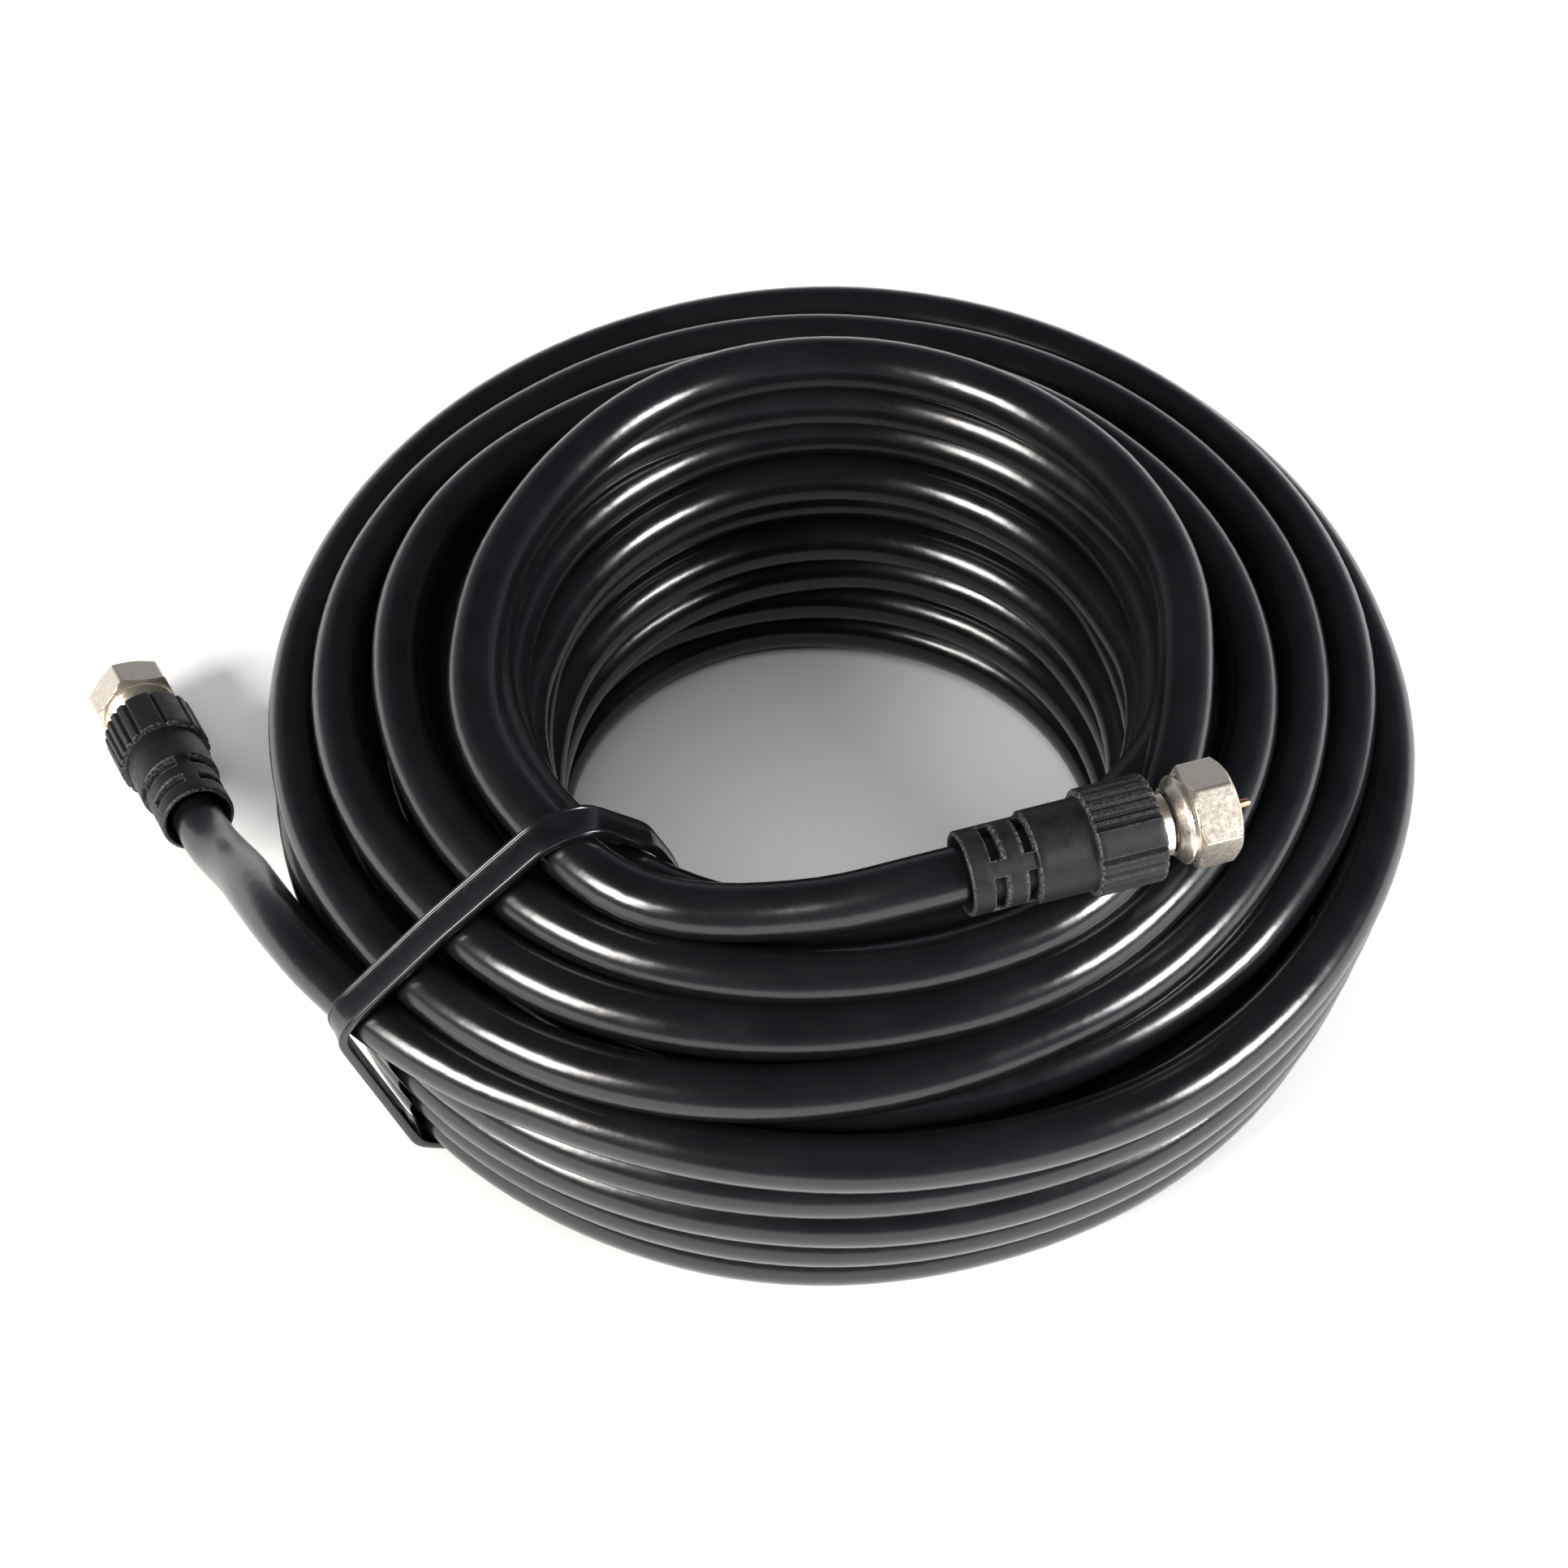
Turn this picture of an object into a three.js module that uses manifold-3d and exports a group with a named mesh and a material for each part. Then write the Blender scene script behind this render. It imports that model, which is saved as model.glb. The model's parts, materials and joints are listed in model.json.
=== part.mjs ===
// Coil of coaxial cable with a connector on each end, held by one cable tie.
// Millimetres, +Z up. It is worked out around the coil's axis, with the floor at z = 0.
import * as THREE from 'three';
import { mergeVertices } from 'three/addons/utils/BufferGeometryUtils.js';
import Module from 'manifold-3d';

const wasm = await Module();
wasm.setup();

// Cable and clearances
const cableDiameter = 7;
const contactGap = 0.3;
const strapGap = 0.35;

// Coil: rows of turns seen in its cut section
const boreRadius = 36.6;
const boreFlare = 3.5;
const innerRows = 8;
const outerRadius = 75;
const outerTuck = 9;
const outerRows = 6;
const rowPitch = 6.5;
const bottomTurns = 4;
const crownRadius = 55.5;
const crownHeight = 50.8;
const slopeTurns = 2;
const valleyDrop = 3.4;
const scallopReach = 3.65;
const scallopHalfAngle = THREE.MathUtils.degToRad(25);
const creaseDepth = 1.7;
const coilSegments = 44;

// Moulded boot of each connector, measured along its axis from the cable's side
const bootBore = 7.7;
const bootMouth = 8.5;
const reliefDiameter = 10.2;
const reliefRing = 2.7;
const reliefSlots = [1.4, 1.2];
const reliefRibs = 4;
const reliefRibWidth = 2.2;
const bodyDiameter = 11.2;
const bodyLength = 7.1;
const gripDiameter = 13;
const gripLength = 8.3;
const edgeChamfer = 0.4;
const cableSeat = 9.2;

// Metal front of each connector
const shankDiameter = 7.7;
const shankShown = 1.8;
const shankSeat = 3;
const neckDiameter = 6.4;
const nutAcrossFlats = 11;
const nutHexLength = 5.4;
const nutChamfer = 0.7;
const nutCollarLength = 1.6;
const nutCollarRear = 8.4;
const nutCollarFront = 10.7;
const nutGrooveLength = 0.5;
const nutGrooveDiameter = 9.9;
const nutLip = 1.4;
const nutThread = 9.4;
const flangeLength = 1;
const insulatorDiameter = 5;
const insulatorLength = 3.4;
const insulatorStandout = 0.3;
const pinDiameter = 1.02;
const pinStandout = 3;
const pinSeat = 2.6;

// Cable tie
const strapWidth = 4.4;
const strapThickness = 1.2;
const strapFloorGap = 0.15;
const tieHeading = THREE.MathUtils.degToRad(205);
const tiePlaneOffset = 20.9;
const tieAzimuth = 220;
const headLength = 6.6;
const headWidth = 5.6;
const headThickness = 4.6;
const headDrop = 26;
const headLap = 0.4;
const stubLength = 3;

// Where the connectors lie: azimuth and heading in degrees around the coil's axis
const topRearAzimuth = 286.1;
const topRearOffset = 4.5;
const topHeading = 17;
const sideRearAzimuth = 182.3;
const sideRearOffset = 15.6;
const sideHeading = 117;
const sideDip = 14;

const roundSides = 24;
const tubeSides = 10;
const pinSides = 12;
const loopSides = 12;

// Plain helpers

function signedVolume(geometry) {
  const at = geometry.attributes.position;
  const index = geometry.index.array;
  const corners = [new THREE.Vector3(), new THREE.Vector3(), new THREE.Vector3()];
  let total = 0;
  for (let i = 0; i < index.length; i += 3) {
    corners.forEach((corner, k) => corner.fromBufferAttribute(at, index[i + k]));
    total += corners[0].dot(corners[1].clone().cross(corners[2]));
  }
  return total / 6;
}

// Welds a closed geometry to shared vertices, with its faces pointing out
function weld(source) {
  const plain = source.clone();
  plain.deleteAttribute('normal');
  plain.deleteAttribute('uv');
  const geometry = mergeVertices(plain, 1e-4);
  const index = Array.from(geometry.index.array);
  const kept = [];
  for (let i = 0; i < index.length; i += 3) {
    const [a, b, c] = index.slice(i, i + 3);
    if (a !== b && b !== c && c !== a) {
      kept.push(a, b, c);
    }
  }
  geometry.setIndex(kept);
  if (signedVolume(geometry) < 0) {
    for (let i = 0; i < kept.length; i += 3) {
      [kept[i + 1], kept[i + 2]] = [kept[i + 2], kept[i + 1]];
    }
    geometry.setIndex(kept);
  }
  return geometry;
}

function toSolid(geometry) {
  const welded = weld(geometry);
  return new wasm.Manifold(new wasm.Mesh({
    numProp: 3,
    vertProperties: new Float32Array(welded.attributes.position.array),
    triVerts: new Uint32Array(welded.index.array),
  }));
}

function fromSolid(solid) {
  const mesh = solid.getMesh();
  const geometry = new THREE.BufferGeometry();
  geometry.setAttribute('position', new THREE.BufferAttribute(mesh.vertProperties.slice(), 3));
  geometry.setIndex(Array.from(mesh.triVerts));
  return geometry;
}

function onCircle(azimuth, radius, height) {
  const angle = THREE.MathUtils.degToRad(azimuth);
  return new THREE.Vector3(radius * Math.cos(angle), radius * Math.sin(angle), height);
}

// A turned solid about +Y from (radius, distance along the axis) pairs, closed on itself
function turned(profile, sides = roundSides) {
  const points = profile.map(([radius, along]) => new THREE.Vector2(radius, along));
  points.push(points[0].clone());
  return weld(new THREE.LatheGeometry(points, sides));
}

// A round tube along a smooth curve through the points
function tube(points, radius, steps) {
  const section = new THREE.Shape();
  for (let i = 0; i < tubeSides; i += 1) {
    const angle = (2 * Math.PI * i) / tubeSides;
    const place = [radius * Math.cos(angle), radius * Math.sin(angle)];
    if (i === 0) {
      section.moveTo(...place);
    } else {
      section.lineTo(...place);
    }
  }
  section.closePath();
  const extrudePath = new THREE.CatmullRomCurve3(points);
  return weld(new THREE.ExtrudeGeometry(section, { steps, extrudePath, bevelEnabled: false }));
}

function shapeOf(points) {
  return new THREE.Shape(points.map(([x, y]) => new THREE.Vector2(x, y)));
}

// Materials
const jacket = new THREE.MeshStandardMaterial({ color: 0x16171a, roughness: 0.28, metalness: 0 });
const moulding = new THREE.MeshStandardMaterial({ color: 0x1b1b1c, roughness: 0.62, metalness: 0 });
const nickel = new THREE.MeshStandardMaterial({ color: 0xcfc6b6, roughness: 0.22, metalness: 1 });
const copper = new THREE.MeshStandardMaterial({ color: 0xc98b5e, roughness: 0.3, metalness: 1 });
const dielectric = new THREE.MeshStandardMaterial({ color: 0xe9e7e0, roughness: 0.6, metalness: 0 });
const nylon = new THREE.MeshStandardMaterial({ color: 0x121314, roughness: 0.25, metalness: 0 });

// Rows of the coil's section, each at the middle of a turn
const cableRadius = cableDiameter / 2;
const scallopFlat = scallopReach * Math.cos(scallopHalfAngle);

function innerRow(row) {
  const share = row / (innerRows - 1);
  return { radius: boreRadius + scallopFlat + boreFlare * share, height: scallopFlat + rowPitch * row };
}

function outerRow(row) {
  const below = 1 - row / (outerRows - 1);
  return {
    radius: outerRadius - scallopFlat - outerTuck * below * below,
    height: scallopFlat + rowPitch * row,
  };
}

function between(a, b, share) {
  return {
    radius: a.radius + (b.radius - a.radius) * share,
    height: a.height + (b.height - a.height) * share,
  };
}

const innerTop = innerRow(innerRows - 1);
const outerTop = outerRow(outerRows - 1);
const crown = { radius: crownRadius, height: crownHeight };
const valley = between(innerTop, crown, 0.5);
valley.height -= valleyDrop;

function sectionRows() {
  const rows = [];
  for (let i = 0; i < bottomTurns; i += 1) {
    rows.push(between(innerRow(0), outerRow(0), i / (bottomTurns - 1)));
  }
  for (let row = 1; row < outerRows; row += 1) {
    rows.push(outerRow(row));
  }
  for (let i = 1; i <= slopeTurns; i += 1) {
    rows.push(between(outerTop, crown, i / (slopeTurns + 1)));
  }
  rows.push(crown, valley);
  for (let row = innerRows - 1; row > 0; row -= 1) {
    rows.push(innerRow(row));
  }
  return rows;
}

// The coil's outline: a flat facet over each turn and a crease between neighbours
function coilProfile() {
  const rows = sectionRows();
  const count = rows.length;
  const outward = (a, b) => Math.atan2(a.radius - b.radius, b.height - a.height);
  const profile = [];
  rows.forEach((row, i) => {
    const before = rows[(i + count - 1) % count];
    const after = rows[(i + 1) % count];
    const facing = new THREE.Vector2(after.radius - before.radius, after.height - before.height);
    let middle = Math.atan2(-facing.x, facing.y);
    if (row.height === scallopFlat) {
      middle = -Math.PI / 2;
    }
    for (const side of [-1, 1]) {
      const angle = middle + side * scallopHalfAngle;
      profile.push([
        row.radius + scallopReach * Math.cos(angle),
        row.height + scallopReach * Math.sin(angle),
      ]);
    }
    const normal = outward(row, after);
    const reach = scallopFlat - creaseDepth;
    profile.push([
      (row.radius + after.radius) / 2 + reach * Math.cos(normal),
      (row.height + after.height) / 2 + reach * Math.sin(normal),
    ]);
  });
  return profile;
}

// The loose last turn, lying on the coil from the right round the back to the front
const topBootHeight = crown.height + scallopReach + contactGap + gripDiameter / 2;
const topAxis = onCircle(topHeading, 1, 0);
const topRear = onCircle(topRearAzimuth, innerTop.radius + topRearOffset, topBootHeight);

const topTurnRise = cableRadius + scallopReach + contactGap;
const topTurnPlaces = [
  [-30, 5.2, -1.6], [-15, 3.9, -0.7], [0, 2.8, -0.1], [30, 1.6, 0], [60, 1.1, 0], [90, 1.1, 0],
  [120, 1.1, 0], [150, 1.3, 0], [180, 1.7, 0], [210, 2.2, 0], [235, 3.0, 0], [255, 3.9, 0.6],
];
const leadIn = 7;

function topTurnPoints() {
  const points = topTurnPlaces.map(([azimuth, out, lift]) => (
    onCircle(azimuth, innerTop.radius + out, innerTop.height + topTurnRise + lift)
  ));
  for (const along of [-leadIn, -leadIn / 2, 0, cableSeat / 2, cableSeat - contactGap]) {
    points.push(topRear.clone().addScaledVector(topAxis, along));
  }
  return points;
}

// The tail, from the coil's upper outer row down to the connector that lies on the floor
const nutCornerRadius = nutAcrossFlats / Math.sqrt(3);
const reliefLength = 2 * reliefRing + reliefSlots[0] + reliefSlots[1];
const bootLength = reliefLength + bodyLength + gripLength;
const nutRear = bootLength + shankShown + contactGap;
const nutFront = nutRear + nutCollarLength + nutGrooveLength + nutHexLength;

const dip = THREE.MathUtils.degToRad(sideDip);
const sideAxis = onCircle(sideHeading, Math.cos(dip), -Math.sin(dip));
const sideRearHeight = nutCornerRadius * Math.cos(dip) + nutFront * Math.sin(dip);
const sideRear = onCircle(sideRearAzimuth, outerTop.radius + sideRearOffset, sideRearHeight);

const tailPlaces = [
  [240, 0, 1], [233, 0, 1.01], [226, 0.2, 1.03], [220, 0.8, 1.04], [214, 3, 1.03],
  [208, 6, 0.93], [201, 8, 0.77], [194.5, 9.4, 0.53],
];

function tailPoints() {
  const fall = outerTop.height - sideRear.z;
  const points = tailPlaces.map(([azimuth, out, share]) => (
    onCircle(azimuth, outerTop.radius + out, sideRear.z + fall * share)
  ));
  for (const along of [-leadIn, -leadIn / 2, 0, cableSeat / 2, cableSeat - contactGap]) {
    points.push(sideRear.clone().addScaledVector(sideAxis, along));
  }
  return points;
}

// Cable tie, drawn in its own upright plane: distance along the plane, then height
function alongPlane(radius, lateral) {
  const offset = tiePlaneOffset + lateral;
  return Math.sqrt(radius * radius - offset * offset);
}

function hull(points) {
  const sorted = [...points].sort((a, b) => a[0] - b[0] || a[1] - b[1]);
  const turn = (o, a, b) => (a[0] - o[0]) * (b[1] - o[1]) - (a[1] - o[1]) * (b[0] - o[0]);
  const chain = (list) => {
    const line = [];
    for (const point of list) {
      while (line.length > 1 && turn(line.at(-2), line.at(-1), point) <= 1e-3) {
        line.pop();
      }
      line.push(point);
    }
    line.pop();
    return line;
  };
  return [...chain(sorted), ...chain(sorted.reverse())];
}

// The taut loop round the turns that the tie crosses, at a given distance from them
function tieLoop(distance) {
  const lift = strapThickness + strapFloorGap + strapGap + cableRadius - scallopFlat;
  const rows = sectionRows().map((row) => ({
    radius: row.radius,
    height: row.height === scallopFlat ? row.height + lift : row.height,
  }));
  const top = topTurnPlaces.at(-2);
  rows.push({ radius: innerTop.radius + top[1], height: innerTop.height + topTurnRise });
  const tail = new THREE.CatmullRomCurve3(tailPoints()).getSpacedPoints(200);
  const crossing = tail.reduce((best, point) => {
    const off = Math.abs(THREE.MathUtils.radToDeg(Math.atan2(-point.y, -point.x)) + 180 - tieAzimuth);
    return off < best.off ? { off, point } : best;
  }, { off: Infinity }).point;
  rows.push({ radius: Math.hypot(crossing.x, crossing.y), height: crossing.z });
  const points = [];
  for (const row of rows) {
    const width = row.radius < innerTop.radius + cableRadius ? headWidth : strapWidth;
    for (let i = 0; i < loopSides; i += 1) {
      const angle = (2 * Math.PI * i) / loopSides;
      const reach = cableRadius + distance;
      const radius = row.radius + reach * Math.cos(angle);
      for (const side of [-1, 1]) {
        points.push([alongPlane(radius, (side * width) / 2), row.height + reach * Math.sin(angle)]);
      }
    }
  }
  return hull(points);
}

function tieBand(inside, outside, width) {
  const shape = shapeOf(tieLoop(outside));
  shape.holes.push(shapeOf(tieLoop(inside)));
  const geometry = new THREE.ExtrudeGeometry(shape, { depth: width, bevelEnabled: false });
  return geometry.translate(0, 0, -width / 2);
}

const tiePlace = new THREE.Matrix4();
{
  const along = new THREE.Vector3(Math.cos(tieHeading), Math.sin(tieHeading), 0);
  const up = new THREE.Vector3(0, 0, 1);
  const across = along.clone().cross(up);
  tiePlace.makeBasis(along, up, across);
  tiePlace.setPosition(across.multiplyScalar(-tiePlaneOffset));
}

// Where the inner run of a loop stands at a given height
function innerRun(loop, height) {
  const crossings = loop.map((point, i) => [point, loop[(i + 1) % loop.length]])
    .filter(([a, b]) => (a[1] - height) * (b[1] - height) <= 0 && a[1] !== b[1])
    .map(([a, b]) => a[0] + ((b[0] - a[0]) * (height - a[1])) / (b[1] - a[1]));
  return Math.min(...crossings);
}

function cableTie() {
  const outside = strapGap + strapThickness;
  const height = innerTop.height + topTurnRise - headDrop;
  const headFront = innerRun(tieLoop(outside), height) + headLap;
  const head = new THREE.BoxGeometry(headThickness, headLength, headWidth);
  head.translate(headFront - headThickness / 2, height, 0);
  const stub = new THREE.BoxGeometry(strapThickness, stubLength + headLength / 2, strapWidth);
  stub.translate(headFront - headThickness / 2, height + (stubLength + headLength / 2) / 2, 0);
  const band = toSolid(tieBand(strapGap, outside, strapWidth));
  return fromSolid(band.add(toSolid(head)).add(toSolid(stub)));
}

// The coil, with room for the tail where it leaves its row and a groove for the strap below
function coil() {
  const ring = toSolid(turned(coilProfile(), coilSegments).rotateX(Math.PI / 2));
  const leaving = tailPoints().slice(0, tailPlaces.length);
  const start = leaving[0].clone().add(leaving[0].clone().sub(leaving[1]).setLength(contactGap));
  const room = tube([start, ...leaving], scallopReach + contactGap, 24);
  const strap = tieBand(0, strapGap + strapThickness + contactGap, strapWidth + 2 * contactGap);
  return fromSolid(ring.subtract(toSolid(room)).subtract(toSolid(strap.applyMatrix4(tiePlace))));
}

// Boot: slotted strain relief, plain body and grip, with the cable's seat and the shank's seat
function boot() {
  const relief = reliefDiameter / 2;
  const body = bodyDiameter / 2;
  const grip = gripDiameter / 2;
  const bodyEnd = reliefLength + bodyLength;
  const outline = [
    [bootMouth / 2, 0], [relief - edgeChamfer, 0], [relief, edgeChamfer], [relief, reliefLength],
    [body, reliefLength], [body, bodyEnd], [grip - edgeChamfer, bodyEnd],
    [grip, bodyEnd + edgeChamfer], [grip, bootLength - edgeChamfer], [grip - edgeChamfer, bootLength],
    [shankDiameter / 2 + contactGap, bootLength],
    [shankDiameter / 2 + contactGap, bootLength - shankSeat], [0, bootLength - shankSeat],
    [0, cableSeat], [bootBore / 2, cableSeat], [bootBore / 2, edgeChamfer * 2],
  ];
  let solid = toSolid(turned(outline));
  let along = reliefRing;
  for (const width of reliefSlots) {
    const slot = toSolid(turned([
      [bootBore / 2 - contactGap, along], [relief + 1, along],
      [relief + 1, along + width], [bootBore / 2 - contactGap, along + width],
    ]));
    let ribs = new THREE.BoxGeometry(2 * relief + 4, 3 * width, reliefRibWidth);
    ribs = toSolid(ribs.translate(0, along + width / 2, 0));
    let windows = slot;
    for (let i = 0; i < reliefRibs / 2; i += 1) {
      windows = windows.subtract(ribs.rotate([0, 45 + (360 * i) / reliefRibs, 0]));
    }
    solid = solid.subtract(windows);
    along += width + reliefRing;
  }
  return fromSolid(solid);
}

// Shank: the plated body that the boot holds, with a neck and flange that keep the nut on
function shank() {
  const neck = neckDiameter / 2;
  const flange = nutThread / 2 - contactGap;
  const rear = bootLength - shankSeat + contactGap;
  const shoulder = nutRear - contactGap;
  const flangeRear = nutRear + nutLip + contactGap;
  const front = flangeRear + flangeLength;
  const pocket = front - insulatorLength + insulatorStandout - contactGap;
  const bore = insulatorDiameter / 2 + contactGap;
  return turned([
    [0, rear], [shankDiameter / 2, rear], [shankDiameter / 2, shoulder], [neck, shoulder],
    [neck, flangeRear], [flange, flangeRear], [flange, front], [bore, front], [bore, pocket],
    [0, pocket],
  ]);
}

// Coupling nut: hexagon with a chamfered front, a groove and a flared collar, bored for its thread
function nut() {
  const hexRear = nutRear + nutCollarLength + nutGrooveLength;
  const corner = nutCornerRadius;
  const hexPoints = [];
  for (let i = 0; i < 6; i += 1) {
    const angle = (Math.PI * i) / 3;
    hexPoints.push([corner * Math.cos(angle), corner * Math.sin(angle)]);
  }
  const hex = new THREE.ExtrudeGeometry(shapeOf(hexPoints), { depth: nutHexLength, bevelEnabled: false });
  hex.rotateX(-Math.PI / 2).translate(0, hexRear, 0);
  const face = nutAcrossFlats / 2;
  const rounding = toSolid(turned([
    [0, hexRear], [face + nutChamfer / 2, hexRear], [corner + 0.1, hexRear + nutChamfer / 2],
    [corner + 0.1, nutFront - nutChamfer], [face - 0.1, nutFront], [0, nutFront],
  ], 36));
  const collar = toSolid(turned([
    [0, nutRear], [nutCollarRear / 2, nutRear], [nutCollarFront / 2, nutRear + nutCollarLength - 0.4],
    [nutCollarFront / 2, nutRear + nutCollarLength], [nutGrooveDiameter / 2, nutRear + nutCollarLength],
    [nutGrooveDiameter / 2, hexRear + 0.2], [0, hexRear + 0.2],
  ]));
  const room = toSolid(turned([
    [0, nutRear - 1], [neckDiameter / 2 + contactGap, nutRear - 1],
    [neckDiameter / 2 + contactGap, nutRear + nutLip], [nutThread / 2, nutRear + nutLip],
    [nutThread / 2, nutFront + 1], [0, nutFront + 1],
  ]));
  return fromSolid(toSolid(hex).intersect(rounding).add(collar).subtract(room));
}

const insulatorFront = nutRear + nutLip + contactGap + flangeLength + insulatorStandout;

// Insulator: the white disc round the centre wire, inside the nut
function insulator() {
  const hole = pinDiameter / 2 + contactGap;
  const rear = insulatorFront - insulatorLength;
  return turned([
    [0, rear], [insulatorDiameter / 2, rear], [insulatorDiameter / 2, insulatorFront],
    [hole, insulatorFront], [hole, insulatorFront - pinSeat], [0, insulatorFront - pinSeat],
  ]);
}

function centreWire() {
  const rear = insulatorFront - pinSeat + contactGap;
  const tip = nutFront + pinStandout;
  const radius = pinDiameter / 2;
  return turned([
    [0, rear], [radius, rear], [radius, tip - radius / 2], [radius / 2, tip], [0, tip],
  ], pinSides);
}

// Assembly
const assembly = new THREE.Group();

function put(parent, name, geometry, material) {
  const mesh = new THREE.Mesh(geometry, material);
  mesh.name = name;
  parent.add(mesh);
  return mesh;
}

function connector(prefix, rear, axis) {
  const group = new THREE.Group();
  group.position.copy(rear);
  group.quaternion.setFromUnitVectors(new THREE.Vector3(0, 1, 0), axis);
  put(group, `${prefix}_boot`, boot(), moulding);
  put(group, `${prefix}_shank`, shank(), nickel);
  put(group, `${prefix}_coupling_nut`, nut(), nickel);
  put(group, `${prefix}_insulator`, insulator(), dielectric);
  put(group, `${prefix}_centre_wire`, centreWire(), copper);
  assembly.add(group);
}

put(assembly, 'cable_coil', coil(), jacket);
put(assembly, 'cable_top_turn', tube(topTurnPoints(), cableRadius, 56), jacket);
put(assembly, 'cable_tail', tube(tailPoints(), cableRadius, 26), jacket);
const tie = put(assembly, 'cable_tie', cableTie(), nylon);
tiePlace.decompose(tie.position, tie.quaternion, tie.scale);
connector('top', topRear, topAxis);
connector('side', sideRear, sideAxis);

// The origin is the middle of the bottom of the whole object's box
assembly.updateMatrixWorld(true);
const box = new THREE.Box3().setFromObject(assembly, true);
const middle = box.getCenter(new THREE.Vector3());
assembly.position.set(-middle.x, -middle.y, -box.min.z);

export default assembly;
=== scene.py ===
"""A coil of black coaxial cable with a screw connector on each end, held by one cable tie.

The shapes are worked out in millimetres round the coil's axis, with the floor at zero,
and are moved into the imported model's frame, in metres, when a mesh is made.
"""
import json
import math

import bmesh
import bpy
import numpy as np
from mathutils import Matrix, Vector


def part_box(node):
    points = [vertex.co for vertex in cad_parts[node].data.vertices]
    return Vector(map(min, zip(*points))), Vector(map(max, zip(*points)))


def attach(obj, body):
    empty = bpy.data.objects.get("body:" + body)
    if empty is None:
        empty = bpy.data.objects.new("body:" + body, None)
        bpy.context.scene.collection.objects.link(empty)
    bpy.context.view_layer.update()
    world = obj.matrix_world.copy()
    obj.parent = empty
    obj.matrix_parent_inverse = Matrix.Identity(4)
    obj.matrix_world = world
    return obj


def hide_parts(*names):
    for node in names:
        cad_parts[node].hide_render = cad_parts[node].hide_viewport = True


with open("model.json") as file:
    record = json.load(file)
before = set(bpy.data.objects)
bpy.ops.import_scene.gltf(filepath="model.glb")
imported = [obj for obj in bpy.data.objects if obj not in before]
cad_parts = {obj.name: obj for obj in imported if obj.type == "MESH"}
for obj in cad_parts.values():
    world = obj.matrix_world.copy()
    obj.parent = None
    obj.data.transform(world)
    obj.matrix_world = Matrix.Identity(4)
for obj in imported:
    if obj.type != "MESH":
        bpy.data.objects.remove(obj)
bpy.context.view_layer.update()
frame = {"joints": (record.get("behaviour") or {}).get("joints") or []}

# Cable and coil
CABLE_RADIUS = 3.5
TURN_GAP = 6.95
BORE_ROUTE_RADIUS = 39.9
BORE_LEAN_HEIGHT = 49
STATION = 5
STATIONS_A_TURN = 360 // STATION
TUBE_SIDES = 24
TUBE_STEP = 3.2
CURVE_SAMPLES = 13

# Winding: its random sway, and how strongly each part is held where it wants to lie
SEED = 7
SWAY = 0.34
SWAY_HARMONICS = (1, 2, 3)
HIDDEN_HOLD = 0.02
BORE_HOLD = 0.1
OUTER_HOLD = 0.12
SHOWN_HOLD = 0.35
BORE_WALL_REACH = 0.9
PUSH = 0.35
SMOOTHING = 0.25
LEAST_RADIUS = 30

# Where each part of the winding's swell starts, as a radius or height, and how far it takes to grow
BORE_EDGE, BORE_FADE = 54, 8
BORE_FOOT, BORE_FOOT_FADE = 14, 8
BORE_TOP, BORE_TOP_FADE = 30, 15
OUTER_RADIUS, OUTER_LOW, OUTER_FADE = 65, 8, 20
OUTER_FOOT_RADIUS, OUTER_FOOT, OUTER_FOOT_FADE = 63, 20, 10

# Connector, measured along its axis from the cable's side
JOINT_AHEAD = 29.0
CABLE_SEAT = 8.9
LEAD_IN = 5.0
BOOT_BORE = 3.75
BOOT_MOUTH = 4.5
MOUTH_DEPTH = 2.0
RELIEF_RADIUS = 5.1
SLOT_FLOOR = 3.88
SLOTS = ((2.7, 4.1), (6.8, 8.0))
RIB_HALF_ANGLE = 12.4
BODY_REAR = 8.0
BODY_RADIUS = 5.6
GRIP_REAR = 15.1
GRIP_RADIUS = 6.5
BOOT_FRONT = 23.4
SHANK_SEAT = 20.4
SHANK_RADIUS = 3.85
NECK_RADIUS = 3.2
NUT_REAR = 25.5
NUT_LIP = 26.9
HEX_REAR = 27.6
NUT_FRONT = 33.0
NUT_FACE = 5.5
NUT_CORNER = NUT_FACE / math.cos(math.radians(30))
THREAD_RADIUS = 4.7
THREAD_PITCH = 0.794
THREAD_DEPTH = 0.35
FLANGE_REAR = 27.2
INSULATOR_FRONT = 28.5
INSULATOR_RADIUS = 2.5
PIN_RADIUS = 0.51
PIN_TIP = 36.0

# Grip of the boot: fine grooves, and plain panels given by their middle and half width
GROOVE_DEPTH = 0.42
GROOVE_HALF_WIDTH = 3.7
GROOVE_COUNT = 28
GROOVE_PITCH = 360 / GROOVE_COUNT
GRIP_EDGE = 0.2
GRIP_PANELS = ((-3.0, 18.5), (161.5, 18.0), (198.5, 18.0))

# Turn of each moulding and nut about its own axis
TOP_ROLL = 51.2
SIDE_ROLL = -100.2
TOP_NUT_CORNER = 21.5
SIDE_NUT_CORNER = 44.8

# Cable tie
TIE_HEADING = 205.0
TIE_OFFSET = 20.9
STRAP_HALF_WIDTH = 2.2
STRAP_INSIDE = 0.12
STRAP_LIFT = 1.9
STRAP_LIFT_SPREAD = 14.0
HEAD_LENGTH = 6.6
HEAD_WIDTH = 5.6
HEAD_THICKNESS = 4.4
HEAD_DROP = 26.0
HEAD_LAP = 0.25
HEAD_STUB = (1.15, 3.6, 3.4)
HEAD_LIP = (2.2, 1.2, 3.9)

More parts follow.
